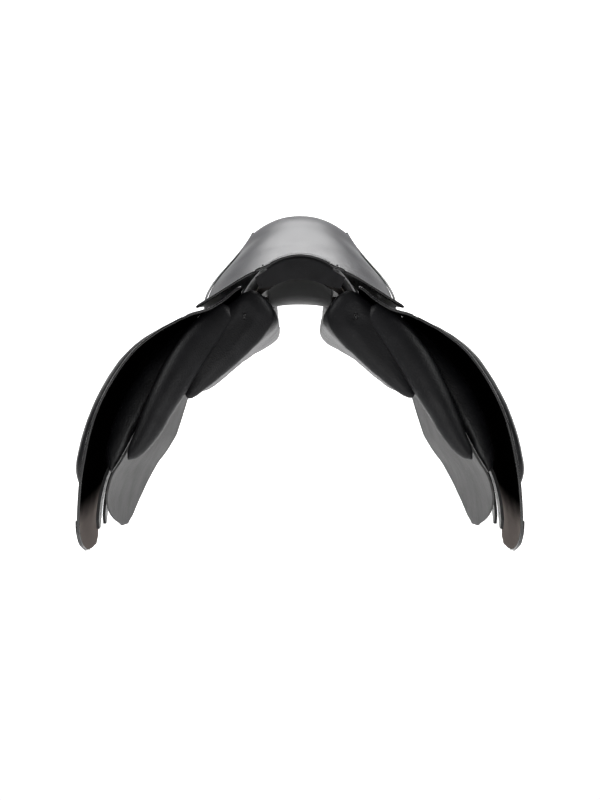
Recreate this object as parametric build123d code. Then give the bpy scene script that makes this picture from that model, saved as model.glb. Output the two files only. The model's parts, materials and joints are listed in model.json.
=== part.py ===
"""English saddle: one STEP file for each named piece, in millimetres, +Z up.

The pommel faces -Y and the rider's left is -X.  Every side piece is drawn on
the +X side and mirrored for the other side.
"""
from build123d import *
import math
import os

os.makedirs("parts", exist_ok=True)

# The drawing point that becomes the row's origin: between the panels, at their lowest level
ORIGIN = (0, 240, 206)

# ---- seat -------------------------------------------------------------
# Cross-sections from pommel to cantle: y, half width, centre height, edge height
SEAT_STATIONS = [
    (-2, 48, 419, 404),
    (30, 56, 420, 397),
    (100, 74, 402, 377),
    (170, 91, 381, 355),
    (240, 114, 372, 344),
    (310, 141, 380, 340),
    (365, 152, 401, 346),
    (415, 141, 443, 377),
    (450, 108, 474, 418),
    (478, 78, 490, 462),
    (499, 40, 487, 478),
]
ARCH_POWER = 2.2
COVER = (0.0, 2.2)
FOAM = (2.5, 13.5)
WEBBING = (13.8, 15.4)
TREE = (15.8, 25.0)
LINING = (25.4, 27.4)
HEAD_PLATE = (25.4, 28.4)
WELT_RADIUS = 2.0
WELT_STANDOFF = 3.1

TREE_REAR_Y = 488
TREE_POINT_THICK = 7
COVER_Y = (-2, 499)
FOAM_Y = (-1.5, 498)
WEBBING_Y = (40, 480)
WELT_Y = (-2, 480)
HEAD_PLATE_HALF_WIDTH = 40
TREE_OPENING = (26, 130, 360)
TREE_POINT = [(38, 384), (58, 370), (77, 355), (95, 338), (110, 317)]
TREE_POINT_Y = (30, 58)
HEAD_PLATE_Y = (2, 28)
LINING_Y = (62, 388)
LINING_HALF_WIDTH = 46
CANTLE_FACING_Y = (392, 497)
CANTLE_END_Y = (499.4, 502.6)
CANTLE_END_DEPTHS = (0.5, 27)
HEAD_FACING_Y = (-6.0, -2.6)
HEAD_FACING_OUTER = [
    (-62, 388), (-46, 397.5), (-25, 409.5), (0, 414), (25, 409.5), (46, 397.5), (62, 388),
]
HEAD_FACING_INNER = [
    (-56, 373), (-42, 375), (-22, 382), (0, 385), (22, 382), (42, 375), (56, 373),
]
POMMEL_WELT_LINE = [
    (-47, 402.5), (-30, 412), (-14, 417), (0, 418.5), (14, 417), (30, 412), (47, 402.5),
]
POMMEL_WELT_Y = -4.4
POMMEL_WELT_RADIUS = 1.8

# ---- side sheets: outer line as (x, z), from the top edge down ----------
SIDE_FALL = 20 / 300
SHEET_GAP = 0.3
SKIRT_FRONT = [(58, 399), (79, 388), (100, 375), (124, 360), (146, 346.5)]
SKIRT_REAR = [(106, 348), (120, 350), (132, 347.5), (141, 342), (148, 334)]
SKIRT_Y = (0, 200)
SKIRT_THICK = 3.0
SKIRT_OUTLINE = [
    (-2, 430), (-4, 372), (2, 347), (30, 340), (90, 336), (150, 333), (184, 334),
    (199, 345), (208, 420), (100, 470),
]
FLAP_HEAD_FRONT = [(82, 376), (92, 369), (104, 358), (122, 346), (146.6, 339)]
FLAP_HEAD_REAR = [(100, 294), (112, 301), (124, 308), (136, 315), (146.4, 318.6)]
FLAP_TOP = (150, 338)
FLAP_LINE = [
    FLAP_TOP, (171, 328), (197, 313), (228, 288), (254, 254), (276, 214),
    (291, 174), (301, 134), (307, 100), (313, 60), (317, 30), (315, -10),
]
FLAP_THICK = 4.0
FLAP_Y = (-40, 320)
FLAP_HEAD_Y = (-6, 302)
FLAP_OUTLINE = [
    (-4, 420), (-16, 330), (-27, 250), (-26, 180), (-4, 110), (32, 48), (74, 0),
    (130, -16), (200, -24), (250, -8), (284, 48), (300, 120), (304, 220), (302, 320),
    (300, 420), (150, 470),
]
KNEE_ROLL_LINE = [
    (176, 327.5), (193, 319.5), (217, 304), (248, 274.5), (268, 247), (283, 219.5),
    (294, 192), (303, 164), (309.5, 137), (313, 110), (313, 95), (309.5, 88),
]
KNEE_ROLL_Y = (-20, 74)
KNEE_ROLL_OUTLINE = [
    (-2, 348), (-12, 300), (-19, 250), (-18, 190), (0, 130), (22, 96), (46, 84),
    (66, 100), (56, 150), (46, 210), (48, 270), (50, 348), (24, 356),
]
PATCH_TOP = 46
PATCH_THICK = 3.0
PATCH_Y = (-20, 260)
PATCH_OUTLINE = [
    (50, 74), (60, 38), (84, 14), (130, 0), (200, -7), (242, 8), (266, 50), (262, 84),
    (150, 100),
]
SWEAT_LINE = [
    (125, 327), (143, 312), (165, 281), (199, 230), (214, 206), (251, 139),
    (268, 113), (280, 84), (285, 60), (287, 20),
]
SWEAT_THICK = 3.0
SWEAT_TOE_IN = 0.14
SWEAT_OUTLINE = [
    (30, 344), (17, 310), (16, 260), (16, 200), (16, 150), (22, 110), (40, 72), (68, 48),
    (100, 35), (145, 29), (185, 36), (218, 66), (244, 96), (262, 140), (262, 185), (242, 220),
    (204, 252), (160, 276), (110, 292), (66, 318),
]
KNEE_BLOCK_HEIGHTS = (8, 20, 36, 38, 37, 32, 24, 16, 10)
THIGH_BLOCK_HEIGHTS = (10, 18, 22, 22, 22, 20, 18, 14, 10)
KNEE_BLOCK_OUTLINE = [
    (20, 294), (18, 240), (18, 180), (22, 130), (40, 110), (56, 124), (52, 180),
    (58, 240), (57, 284), (38, 305),
]
THIGH_BLOCK_OUTLINE = [
    (232, 216), (230, 170), (236, 128), (250, 124), (258, 170), (254, 218), (242, 226),
]
BLOCK_GAP = 0.4
BILLET_LINE = [
    (174, 291), (209, 237), (224, 212), (263, 143), (281, 117), (292, 88),
    (298, 58), (300, 24),
]
BILLET_THICK = 4.5
BILLET_WIDTH = 30
BILLET_CENTRES = (112, 182)
BILLET_HOLE_RADIUS = 2.75
BILLET_HOLE_SPACING = 25
BILLET_HOLES = 5
BILLET_TIP_TO_HOLE = 24
BILLET_TIP_Z = 25
BILLET_TIP_CHAMFER = 17
BILLET_TIP_HALF_WIDTH = 6
WEB_LINE = [(90, 327), (118, 324), (146, 316), (176, 300)]
WEB_THICK = 2.0
WEB_Y = (98, 198)

# ---- panels: y and eight points, inner top first, clockwise from behind --
PANEL_STATIONS = [
    (-4, [(70, 366), (56, 354), (55, 334), (84, 284), (138, 234), (142, 256), (124, 304), (90, 350)]),
    (5, [(68, 369), (46, 354), (42, 324), (80, 276), (147, 221), (152, 250), (135, 304), (96, 347)]),
    (27, [(58, 354), (38, 342), (36, 318), (78, 277), (148, 220), (152, 248), (130, 292), (82, 336)]),
    (60, [(52, 330), (35, 328), (35, 314), (76, 277), (145, 222), (152, 242), (126, 284), (84, 314)]),
    (100, [(50, 326), (35, 324), (34, 312), (75, 275), (140, 223), (150, 236), (124, 274), (84, 305)]),
    (160, [(50, 314), (34, 316), (34, 304), (74, 271), (132, 224), (146, 232), (120, 268), (85, 293)]),
    (250, [(50, 322), (35, 316), (35, 292), (74, 266), (122, 240), (140, 252), (120, 270), (86, 292)]),
    (330, [(50, 338), (36, 328), (37, 290), (76, 268), (122, 262), (140, 278), (124, 290), (90, 308)]),
    (390, [(52, 370), (39, 348), (41, 302), (76, 284), (118, 286), (138, 306), (122, 328), (90, 354)]),
    (440, [(54, 404), (43, 374), (45, 326), (74, 306), (104, 312), (120, 334), (104, 360), (82, 390)]),
    (478, [(58, 414), (50, 390), (52, 350), (72, 332), (90, 338), (100, 358), (90, 382), (76, 404)]),
    (490, [(60, 404), (55, 388), (56, 362), (70, 348), (84, 353), (91, 366), (84, 380), (74, 394)]),
]
PANEL_LEATHER = 2.5
FLOCKING_CLEARANCE = 0.6
# Centre (x, z), half width and half depth along the narrow front roll
FRONT_ROLL = [
    (160, 262, 3, 6), (169, 247, 10, 12), (182, 229, 16, 16), (195, 210, 18, 17),
    (206, 190, 18, 17), (217, 171, 16, 16), (228, 153, 12, 14), (240, 138, 5, 8),
]
FRONT_ROLL_Y = -5

# ---- stirrup bar ---------------------------------------------------------
BAR_START_Y = 64
BAR_RUN = (0.06, 1.0, -0.16)
BAR_LENGTH = 84
RAIL_SECTION = (46, 339, 67.5, 359)
BAR_PLATE_SECTION = (67.8, 338, 71.2, 352)
BAR_ARM_LINE = [(69.6, 350.5), (77, 361.5), (88, 365), (105, 361.5)]
BAR_ROD_CENTRE = (105.8, 358.8)
BAR_ROD_RADIUS = 3.5
BAR_TILT = 30
BAR_ARM_LENGTH = 9
BAR_ARM_THICK = 5
BAR_ROD_LENGTH = 68
EAR_ALONG = 70
EAR_DROP = 2.6
EAR_SIZE = (14, 6, 1.8)
PIN_ALONG = 74
PIN_LENGTH = 5.2
PIN_DROP = 0.9
CATCH_LENGTH = 20
CATCH_WIDTH = 6
CATCH_THICK = 2.4
CATCH_TAIL = 3
CATCH_ROOM_RADIUS = 4.4
CATCH_ROOM_HEIGHT = 3.2
PIN_RADIUS = 1.2
PIN_CLEARANCE = 0.06
RIVET_RADIUS = 3.0
RIVET_CLEARANCE = 0.05
RIVET_Y = 15
RIVET_LEAN = 18
RIVET_DEPTH = 22.5
RIVET_LENGTH = 12.6
BAR_RIVETS_ALONG = (20, 62)
BAR_RIVET_PLACE = (69.5, 359)
BAR_RIVET_LENGTH = 4.4
BAR_RIVET_PROUD = 0.6

# ---- small metal at the head ------------------------------------------------
NAIL_AT = (112, 12)
NAIL_Z = 350.7
NAIL_LEAN = 32.5
NAIL_RADIUS = 5.0
NAIL_HEIGHT = 2.2
NAIL_SHANK_RADIUS = 1.5
NAIL_SHANK_LENGTH = 5.2
NAIL_SHANK_HOLE = 1.6
NAIL_LIFT = 0.6
DEE_AT = (108, 38, 355)
DEE_WIDTH = 22
DEE_WIRE = 1.5
DEE_REACH = 16


# ---- helpers -------------------------------------------------------------
def save(name, shape):
    """Write one named piece."""
    export_step(Location(ORIGIN).inverse() * shape, f"parts/{name}.step")


def save_pair(name, shape):
    """Write a +X piece and its mirror image."""
    save(name + "_right", shape)
    save(name + "_left", shape.mirror(Plane.YZ))


def moved_along_normals(line, distance):
    """Move an (x, z) line to the right of its own direction by distance."""
    moved = []
    for index, (x, z) in enumerate(line):
        before = line[max(index - 1, 0)]
        after = line[min(index + 1, len(line) - 1)]
        run = after[0] - before[0]
        rise = after[1] - before[1]
        length = math.hypot(run, rise)
        moved.append((x + distance * rise / length, z - distance * run / length))
    return moved


def strip_wire(outer, inner, y):
    """Closed four-edge wire between two (x, z) lines at one y."""
    top = [Vector(x, y, z) for x, z in outer]
    low = [Vector(x, y, z) for x, z in reversed(inner)]
    edges = [
        Edge.make_spline(top),
        Edge.make_line(top[-1], low[0]),
        Edge.make_spline(low),
        Edge.make_line(low[-1], top[0]),
    ]
    return Wire(edges)


def ring_wire(points, y):
    """Closed smooth wire through (x, z) points at one y."""
    return Wire([Edge.make_spline([Vector(x, y, z) for x, z in points], periodic=True)])


def side_sheet(outer, inner, y_range, toe_in=0.0):
    """Sheet between two lines that runs back along the side, falling and turning inward."""
    start, end = y_range
    along = Vector(-toe_in, 1, -SIDE_FALL)
    sheet = Solid.extrude(Face(strip_wire(outer, inner, 0)), along * (end - start))
    return sheet.moved(Location(tuple(along * start)))


def side_outline(points):
    """Block with a rounded outline in the side view, given as (y, z)."""
    wire = Wire([Edge.make_spline([Vector(0, y, z) for y, z in points], periodic=True)])
    return Solid.extrude(Face(wire), Vector(400, 0, 0))


def side_polygon(points):
    """Block with a straight-sided outline in the side view."""
    wire = Wire.make_polygon([Vector(0, y, z) for y, z in points])
    return Solid.extrude(Face(wire), Vector(400, 0, 0))


def solid_of(shape):
    """The largest solid in a result."""
    return max(shape.solids(), key=lambda solid: solid.volume)


# ---- seat ----------------------------------------------------------------
def station_at(y):
    """Seat cross-section at any y, by a smooth curve through the stations."""
    ys = [station[0] for station in SEAT_STATIONS]
    index = max(i for i in range(len(ys) - 1) if ys[i] <= y or i == 0)
    share = (y - ys[index]) / (ys[index + 1] - ys[index])
    values = []
    for column in (1, 2, 3):
        here = SEAT_STATIONS[index][column]
        after = SEAT_STATIONS[index + 1][column]
        before = SEAT_STATIONS[max(index - 1, 0)][column]
        beyond = SEAT_STATIONS[min(index + 2, len(ys) - 1)][column]
        slope_here = (after - before) / 2
        slope_after = (beyond - here) / 2
        square = share * share
        cube = square * share
        values.append(
            (2 * cube - 3 * square + 1) * here
            + (cube - 2 * square + share) * slope_here
            + (3 * square - 2 * cube) * after
            + (cube - square) * slope_after
        )
    return values


def arch_line(y, depth):
    """Points across the seat at one y, depth below the top surface."""
    width, top, edge = station_at(y)
    line = []
    for step in range(-4, 5):
        share = step / 4
        drop = (top - edge) * abs(share) ** ARCH_POWER
        slope = -math.copysign(
            (top - edge) * ARCH_POWER * abs(share) ** (ARCH_POWER - 1) / width, share
        )
        length = math.hypot(1, slope)
        line.append((width * share + depth * slope / length, top - drop - depth / length))
    return line


def arch_layer(depths, y_range, half_width=200):
    """One layer of the seat, between two depths, trimmed in length and width."""
    start, end = y_range
    wires = []
    for y in [station[0] for station in SEAT_STATIONS]:
        wires.append(strip_wire(arch_line(y, depths[0]), arch_line(y, depths[1]), y))
    keep = Pos(0, (start + end) / 2, 400) * Box(2 * half_width, end - start, 400)
    return solid_of(Solid.make_loft(wires).intersect(keep))


def seat_edge_path(y_range, standoff):
    """Line just outside the seat's edge, moved square to it in plan."""
    rim = [(width, y, edge) for y, width, _top, edge in SEAT_STATIONS]
    points = []
    for index, (x, y, z) in enumerate(rim):
        before = rim[max(index - 1, 0)]
        after = rim[min(index + 1, len(rim) - 1)]
        run = after[0] - before[0]
        rise = after[1] - before[1]
        length = math.hypot(run, rise)
        if y_range[0] <= y <= y_range[1]:
            points.append(
                Vector(x + standoff * rise / length, y - standoff * run / length, z - 0.5)
            )
    return Edge.make_spline(points)


def piping(path, radius):
    """Round cord along a path."""
    start = Plane(origin=path @ 0, z_dir=path % 0)
    circle = Wire.make_circle(radius, start)
    return Solid.sweep(Face(circle), Wire([path]))


def rail():
    """Side rail of the tree that carries the stirrup bar."""
    x0, z0, x1, z1 = RAIL_SECTION
    return bar_run_block([(x0, z0), (x1, z0), (x1, z1), (x0, z1)], -6, BAR_LENGTH + 6)


def bar_run_block(points, start, length):
    """Straight block along the stirrup bar's direction."""
    run = Vector(*BAR_RUN)
    begin = Vector(0, BAR_START_Y, 0) + run * start
    wire = Wire.make_polygon([begin + Vector(x, 0, z) for x, z in points])
    return Solid.extrude(Face(wire), run * length)


def build_tree():
    """Tree with points, side rails and a central opening."""
    body = arch_layer(TREE, (0, TREE_REAR_Y))
    half, start, end = TREE_OPENING
    opening = Pos(0, (start + end) / 2, 350) * Box(2 * half, end - start, 200)
    opening = fillet(opening.edges().filter_by(Axis.Z), half - 1)
    point_inner = moved_along_normals(TREE_POINT, TREE_POINT_THICK)
    point = Solid.extrude(
        Face(strip_wire(TREE_POINT, point_inner, TREE_POINT_Y[0])),
        Vector(0, TREE_POINT_Y[1] - TREE_POINT_Y[0], 0),
    )
    parts = [point, rail()]
    body = body.fuse(*parts, *[part.mirror(Plane.YZ) for part in parts])
    return solid_of(body.cut(opening))


def build_seat():
    """Cover, foam, webbing, facings, welts and the tree below them."""
    tree = build_tree()
    plate = arch_layer(HEAD_PLATE, HEAD_PLATE_Y, HEAD_PLATE_HALF_WIDTH)
    for side in (-1, 1):
        rivet, bore = head_rivet(side)
        tree = tree.cut(bore)
        plate = plate.cut(bore)
        save("head_rivet_" + ("left" if side < 0 else "right"), rivet)
    save("tree", solid_of(tree))
    save("head_plate", solid_of(plate))
    save("seat_cover", arch_layer(COVER, COVER_Y))
    save("seat_foam", arch_layer(FOAM, FOAM_Y))
    save("seat_webbing", arch_layer(WEBBING, WEBBING_Y))
    save("channel_lining", arch_layer(LINING, LINING_Y, LINING_HALF_WIDTH))
    save("cantle_facing", arch_layer(LINING, CANTLE_FACING_Y))
    save("cantle_binding", end_plate(COVER_Y[1], CANTLE_END_Y, CANTLE_END_DEPTHS))
    save("head_facing", head_facing())
    save("pommel_welt", pommel_welt())
    save_pair("seat_welt", piping(seat_edge_path(WELT_Y, WELT_STANDOFF), WELT_RADIUS))


def head_rivet(side):
    """Rivet through the tree and head plate, and the bore it sits in."""
    line = arch_line(RIVET_Y, 0)
    x, z = line[6] if side > 0 else line[2]
    place = Pos(x, RIVET_Y, z) * Rot(0, side * RIVET_LEAN, 0)
    shank = Pos(0, 0, -RIVET_DEPTH) * Cylinder(RIVET_RADIUS, RIVET_LENGTH)
    bore = Pos(0, 0, -RIVET_DEPTH) * Cylinder(RIVET_RADIUS + RIVET_CLEARANCE, 40)
    return place * shank, place * bore


def end_plate(station_y, y_range, depths):
    """Plate that closes the rear end of the seat layers."""
    wire = strip_wire(arch_line(station_y, depths[0]), arch_line(station_y, depths[1]), y_range[0])
    return Solid.extrude(Face(wire), Vector(0, y_range[1] - y_range[0], 0))


def head_facing():
    """Facing leather across the front of the head."""
    wire = strip_wire(HEAD_FACING_OUTER, HEAD_FACING_INNER, HEAD_FACING_Y[0])
    return Solid.extrude(Face(wire), Vector(0, HEAD_FACING_Y[1] - HEAD_FACING_Y[0], 0))


def pommel_welt():
    """Piping across the front of the pommel."""
    path = Edge.make_spline([Vector(x, POMMEL_WELT_Y, z) for x, z in POMMEL_WELT_LINE])
    return piping(path, POMMEL_WELT_RADIUS)


# ---- panels ---------------------------------------------------------------
def shrunk(points, distance):
    """Ring of points moved inward by distance."""
    centre_x = sum(x for x, _ in points) / len(points)
    centre_z = sum(z for _, z in points) / len(points)
    result = []
    for index, (x, z) in enumerate(points):
        before = points[index - 1]
        after = points[(index + 1) % len(points)]
        run = after[0] - before[0]
        rise = after[1] - before[1]
        length = math.hypot(run, rise)
        step_x, step_z = -rise / length, run / length
        if (centre_x - x) * step_x + (centre_z - z) * step_z < 0:
            step_x, step_z = -step_x, -step_z
        result.append((x + distance * step_x, z + distance * step_z))
    return result


def build_panels():
    """Leather panel with its flocking, and the roll along its front edge."""
    outer = Solid.make_loft([ring_wire(points, y) for y, points in PANEL_STATIONS])
    core_stations = PANEL_STATIONS[1:-1]
    hollow = Solid.make_loft(
        [ring_wire(shrunk(points, PANEL_LEATHER), y) for y, points in core_stations]
    )
    core = Solid.make_loft(
        [ring_wire(shrunk(points, PANEL_LEATHER + FLOCKING_CLEARANCE), y) for y, points in core_stations]
    )
    first = core_stations[0][0] + FLOCKING_CLEARANCE
    last = core_stations[-1][0] - FLOCKING_CLEARANCE
    keep = Pos(100, (first + last) / 2, 300) * Box(400, last - first, 400)
    save_pair("panel", solid_of(outer.cut(hollow)))
    save_pair("flocking", solid_of(core.intersect(keep)))
    save_pair("front_roll", front_roll())


def front_roll():
    """Narrow stuffed roll that runs down the front edge of the sweat flap."""
    wires = []
    for index, (x, z, half_width, half_depth) in enumerate(FRONT_ROLL):
        before = FRONT_ROLL[max(index - 1, 0)]
        after = FRONT_ROLL[min(index + 1, len(FRONT_ROLL) - 1)]
        along = Vector(after[0] - before[0], 0, after[1] - before[1]).normalized()
        across = along.cross(Vector(0, 1, 0))
        centre = Vector(x, FRONT_ROLL_Y, z)
        ring = []
        for step in range(8):
            turn = math.radians(45 * step)
            ring.append(
                centre
                + across * (half_width * math.cos(turn))
                + Vector(0, half_depth * math.sin(turn), 0)
            )
        wires.append(Wire([Edge.make_spline(ring, periodic=True)]))
    return Solid.make_loft(wires)


# ---- flaps, blocks and straps -----------------------------------------------
def build_flaps():
    """Fixed flap head, hinged flap with its knee roll and patch."""
    front_inner = moved_along_normals(FLAP_HEAD_FRONT, FLAP_THICK)
    rear_inner = moved_along_normals(FLAP_HEAD_REAR, FLAP_THICK)
    head = Solid.make_loft([
        strip_wire(FLAP_HEAD_FRONT, front_inner, FLAP_HEAD_Y[0]),
        strip_wire(FLAP_HEAD_REAR, rear_inner, FLAP_HEAD_Y[1]),
    ], ruled=True)
    shank_hole = nail_place() * Cylinder(NAIL_SHANK_HOLE, 40)
    save_pair("flap_head", solid_of(head.cut(shank_hole)))
    inner = moved_along_normals(FLAP_LINE, FLAP_THICK)
    flap = side_sheet(FLAP_LINE, inner, FLAP_Y)
    save_pair("flap", solid_of(flap.intersect(side_outline(FLAP_OUTLINE))))
    save_pair("knee_roll", knee_roll())
    save_pair("flap_patch", flap_patch())


def knee_roll():
    """Padded roll on the outer face of the flap."""
    face = moved_along_normals(FLAP_LINE, -SHEET_GAP)
    pad = side_sheet(KNEE_ROLL_LINE, face[1:9], KNEE_ROLL_Y)
    pad = solid_of(pad.intersect(side_outline(KNEE_ROLL_OUTLINE)))
    cutter = side_sheet(face, moved_along_normals(FLAP_LINE, 30), FLAP_Y)
    return solid_of(pad.cut(cutter))


def flap_patch():
    """Wear patch on the lower edge of the flap."""
    line = FLAP_LINE[-4:]
    outer = moved_along_normals(line, -PATCH_THICK - SHEET_GAP)
    sheet = side_sheet(outer, moved_along_normals(line, -SHEET_GAP), PATCH_Y)
    sheet = solid_of(sheet.intersect(side_outline(PATCH_OUTLINE)))
    below_top = Pos(300, 100, PATCH_TOP - 60) * Box(200, 600, 120)
    return solid_of(sheet.intersect(below_top))


def build_sweat_flaps():
    """Sweat flap with its knee block and thigh block."""
    inner = moved_along_normals(SWEAT_LINE, SWEAT_THICK)
    sheet = side_sheet(SWEAT_LINE, inner, FLAP_Y, SWEAT_TOE_IN)
    save_pair("sweat_flap", solid_of(sheet.intersect(side_outline(SWEAT_OUTLINE))))
    save_pair("knee_block", side_block(KNEE_BLOCK_HEIGHTS, KNEE_BLOCK_OUTLINE))
    save_pair("thigh_block", side_block(THIGH_BLOCK_HEIGHTS, THIGH_BLOCK_OUTLINE))


def side_block(heights, outline_points):
    """Padded block standing on the sweat flap."""
    base = moved_along_normals(SWEAT_LINE, 2)
    crown = []
    for index, height in enumerate(heights):
        crown.append(moved_along_normals(SWEAT_LINE, -height)[index])
    block = side_sheet(crown[1:8], base[1:8], FLAP_Y, SWEAT_TOE_IN)
    block = solid_of(block.intersect(side_outline(outline_points)))
    face = moved_along_normals(SWEAT_LINE, -BLOCK_GAP)
    backing = side_sheet(face, moved_along_normals(SWEAT_LINE, 20), FLAP_Y, SWEAT_TOE_IN)
    return solid_of(block.cut(backing))


def billet(centre_y):
    """One girth strap with a row of round holes."""
    half = BILLET_WIDTH / 2
    inner = moved_along_normals(BILLET_LINE, BILLET_THICK)
    strap = side_sheet(BILLET_LINE, inner, (centre_y - half, centre_y + half))
    low = BILLET_TIP_Z - SIDE_FALL * centre_y
    shoulder = low + BILLET_TIP_CHAMFER
    tip = side_polygon([
        (centre_y - half - 1, 420),
        (centre_y + half + 1, 420),
        (centre_y + half + 1, shoulder),
        (centre_y + BILLET_TIP_HALF_WIDTH, low),
        (centre_y - BILLET_TIP_HALF_WIDTH, low),
        (centre_y - half - 1, shoulder),
    ])
    strap = solid_of(strap.intersect(tip))
    for index in range(BILLET_HOLES):
        place = billet_hole(centre_y, index)
        strap = strap.cut(place * Cylinder(BILLET_HOLE_RADIUS, 60))
    return solid_of(strap)


def billet_hole(centre_y, index):
    """Place of one strap hole: its axis stands square to the strap."""
    along = BILLET_TIP_TO_HOLE + index * BILLET_HOLE_SPACING
    path = Edge.make_spline([Vector(x, 0, z) for x, z in reversed(BILLET_LINE)])
    share = along / path.length
    point = path @ share
    tangent = path % share
    lean = math.degrees(math.atan2(tangent.Z, -tangent.X))
    return Pos(point.X, centre_y, point.Z - SIDE_FALL * centre_y) * Rot(0, lean, 0)


def build_straps():
    """Girth billets and the web that holds their tops."""
    for name, centre in zip(("front", "rear"), BILLET_CENTRES):
        shape = billet(centre)
        save(f"billet_{name}_right", shape)
        save(f"billet_{name}_left", shape.mirror(Plane.YZ))
    web = side_sheet(WEB_LINE, moved_along_normals(WEB_LINE, WEB_THICK), WEB_Y)
    save_pair("billet_web", web)


def build_skirts():
    """Small flap that hangs from the seat's edge over the stirrup bar."""
    sheet = Solid.make_loft([
        strip_wire(SKIRT_FRONT, moved_along_normals(SKIRT_FRONT, SKIRT_THICK), SKIRT_Y[0]),
        strip_wire(SKIRT_REAR, moved_along_normals(SKIRT_REAR, SKIRT_THICK), SKIRT_Y[1]),
    ], ruled=True)
    save_pair("skirt", solid_of(sheet.intersect(side_outline(SKIRT_OUTLINE))))


# ---- metal ----------------------------------------------------------------
def bar_plane(along, lift=0.0):
    """Plane at a distance along the rod: x runs along it, z points out of the skirt."""
    run = Vector(*BAR_RUN)
    centre = Vector(BAR_ROD_CENTRE[0], BAR_START_Y, BAR_ROD_CENTRE[1]) + run * along
    tilt = math.radians(BAR_TILT)
    outward = Vector(math.sin(tilt), 0, math.cos(tilt))
    along_dir = run.normalized()
    outward = (outward - along_dir * outward.dot(along_dir)).normalized()
    return Plane(origin=centre + outward * lift, x_dir=along_dir, z_dir=outward)


def build_stirrup_bars():
    """Bar, swinging catch with its pin, and the rivets of the base plate."""
    x0, z0, x1, z1 = BAR_PLATE_SECTION
    plate = bar_run_block([(x0, z0), (x1, z0), (x1, z1), (x0, z1)], 0, BAR_LENGTH)
    arm_low = moved_along_normals(BAR_ARM_LINE, BAR_ARM_THICK)
    arm = bar_run_block([*BAR_ARM_LINE, *reversed(arm_low)], 0, BAR_ARM_LENGTH)
    rod_circle = Wire.make_circle(
        BAR_ROD_RADIUS, Plane(origin=bar_plane(0).origin, z_dir=Vector(*BAR_RUN))
    )
    rod = Solid.extrude(Face(rod_circle), Vector(*BAR_RUN) * BAR_ROD_LENGTH)
    ear = bar_plane(EAR_ALONG, -EAR_DROP) * Box(*EAR_SIZE)
    bar = plate.fuse(arm, rod, ear)
    pin_plane = bar_plane(PIN_ALONG)
    pin_bore = pin_plane * Cylinder(PIN_RADIUS + PIN_CLEARANCE, 30)
    bar = bar.cut(pin_bore)
    pin = pin_plane * (Pos(0, 0, -PIN_DROP) * Cylinder(PIN_RADIUS, PIN_LENGTH))
    catch = Pos(CATCH_LENGTH / 2 - CATCH_TAIL, 0, 0) * Box(CATCH_LENGTH, CATCH_WIDTH, CATCH_THICK)
    catch = fillet(catch.edges().filter_by(Axis.Z), CATCH_WIDTH / 2 - 0.1)
    catch = pin_plane * catch
    catch = catch.cut(pin_bore)
    bar = bar.cut(pin_plane * Cylinder(CATCH_ROOM_RADIUS, CATCH_ROOM_HEIGHT))
    for index, along in enumerate(BAR_RIVETS_ALONG):
        bar, rivet = with_rivet(bar, along)
        save_pair(f"bar_rivet_{index + 1}", rivet)
    save_pair("stirrup_bar", solid_of(bar))
    save_pair("bar_catch", solid_of(catch))
    save_pair("catch_pin", pin)


def with_rivet(bar, along):
    """Bore the base plate and return it with the rivet that fills the bore."""
    run = Vector(*BAR_RUN)
    centre = Vector(BAR_RIVET_PLACE[0], BAR_START_Y, BAR_RIVET_PLACE[1]) + run * along
    place = Plane(origin=centre, z_dir=Vector(1, 0, 0))
    bored = bar.cut(place * Cylinder(RIVET_RADIUS + RIVET_CLEARANCE, 8))
    rivet = place * (Pos(0, 0, BAR_RIVET_PROUD) * Cylinder(RIVET_RADIUS, BAR_RIVET_LENGTH))
    return bored, rivet


def nail_place():
    """Place of the saddle nail on the flap head, its axis square to the leather."""
    x, y = NAIL_AT
    return Pos(x, y, NAIL_Z) * Rot(0, NAIL_LEAN, 0)


def build_nails():
    """Dome-headed nail that fixes the flap head to the tree point."""
    dome_radius = (NAIL_RADIUS ** 2 + NAIL_HEIGHT ** 2) / (2 * NAIL_HEIGHT)
    dome = Pos(0, 0, NAIL_HEIGHT - dome_radius) * Sphere(dome_radius)
    keep = Pos(0, 0, NAIL_HEIGHT / 2) * Box(20, 20, NAIL_HEIGHT)
    head = dome & keep
    shank = Pos(0, 0, 0.2 - NAIL_SHANK_LENGTH / 2) * Cylinder(NAIL_SHANK_RADIUS, NAIL_SHANK_LENGTH)
    save_pair("saddle_nail", nail_place() * Pos(0, 0, NAIL_LIFT) * solid_of(head + shank))


def build_dees():
    """Dee ring under the front of the skirt."""
    place = Pos(*DEE_AT) * Rot(0, NAIL_LEAN, 0)
    half = DEE_WIDTH / 2
    shoulder = DEE_REACH - 7
    rim_points = [
        Vector(0, -half, 0),
        Vector(shoulder, -half + 1, 0),
        Vector(DEE_REACH, 0, 0),
        Vector(shoulder, half - 1, 0),
        Vector(0, half, 0),
    ]
    rim = Edge.make_spline(rim_points, tangents=[Vector(1, 0, 0), Vector(-1, 0, 0)])
    ring = piping(rim, DEE_WIRE)
    bar = Rot(90, 0, 0) * Cylinder(DEE_WIRE, DEE_WIDTH + 2 * DEE_WIRE)
    save_pair("dee_ring", place * solid_of(ring.fuse(bar)))


build_seat()
build_panels()
build_flaps()
build_sweat_flaps()
build_straps()
build_skirts()
build_stirrup_bars()
build_nails()
build_dees()
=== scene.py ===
"""Looks for the English saddle: soft leather pieces built around the fixed CAD frame.

All drawing numbers are millimetres in the CAD drawing's frame (pommel at y = 0, flaps' lower
edge near z = 0) and are turned into the row frame, in metres, when a mesh is made.
"""

import json
import math

import bmesh
import bpy
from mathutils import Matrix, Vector, noise


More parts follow.
